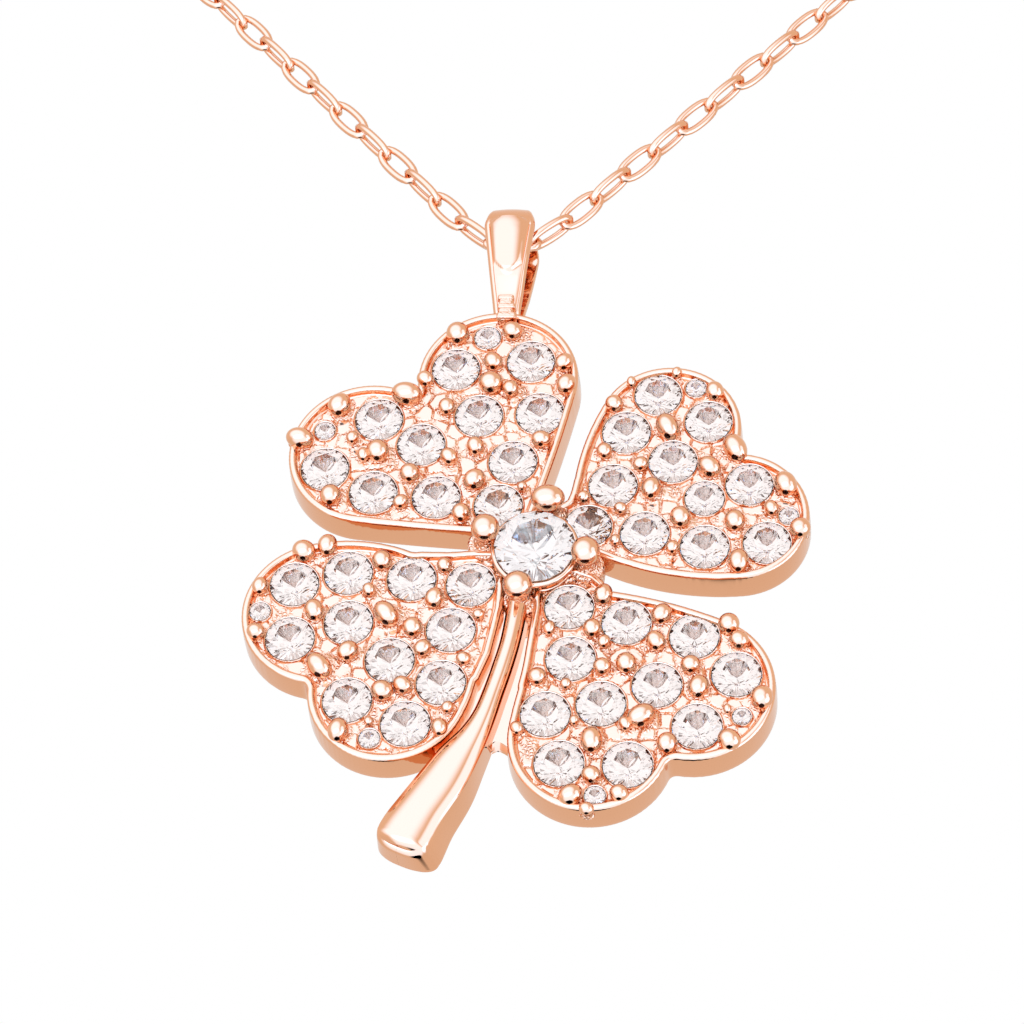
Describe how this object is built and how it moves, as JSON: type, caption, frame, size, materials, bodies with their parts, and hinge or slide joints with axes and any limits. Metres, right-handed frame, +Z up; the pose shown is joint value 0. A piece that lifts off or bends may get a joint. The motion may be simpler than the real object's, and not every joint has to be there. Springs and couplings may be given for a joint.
{
  "type": "four-leaf clover pendant necklace",
  "caption": "Clover-shaped pendant with pave-set petals, a round centre stone and a curved stem, hanging by a bail from a fine cable chain.",
  "frame": {"origin": "top of the loop at the nape, the middle of the clasp, where the necklace hangs from a neck", "axes": "+Z up, -Y the way the pendant's stones face, +X to the right of someone who faces the pendant"},
  "size_m": [0.1316, 0.0258, 0.1882],
  "materials": {
    "rose_gold": "polished",
    "chain_gold": "polished",
    "centre_crystal": "faceted, clear",
    "pave_crystal": "faceted, clear"
  },
  "bodies": {
    "necklace": {"chain": "chain_gold", "clasp": "chain_gold"},
    "pendant": {"clover": "rose_gold", "centre_stone": "centre_crystal", "stones_upper_left": "pave_crystal", "stones_right": "pave_crystal", "stones_lower_right": "pave_crystal", "stones_lower_left": "pave_crystal"}
  },
  "joints": [
    {"name": "pendant_swing", "type": "hinge", "parent": "necklace", "child": "pendant", "pos_m": [0, -0.023, -0.16362], "axis": [1, 0, 0], "range_deg": [-80, 80]}
  ]
}
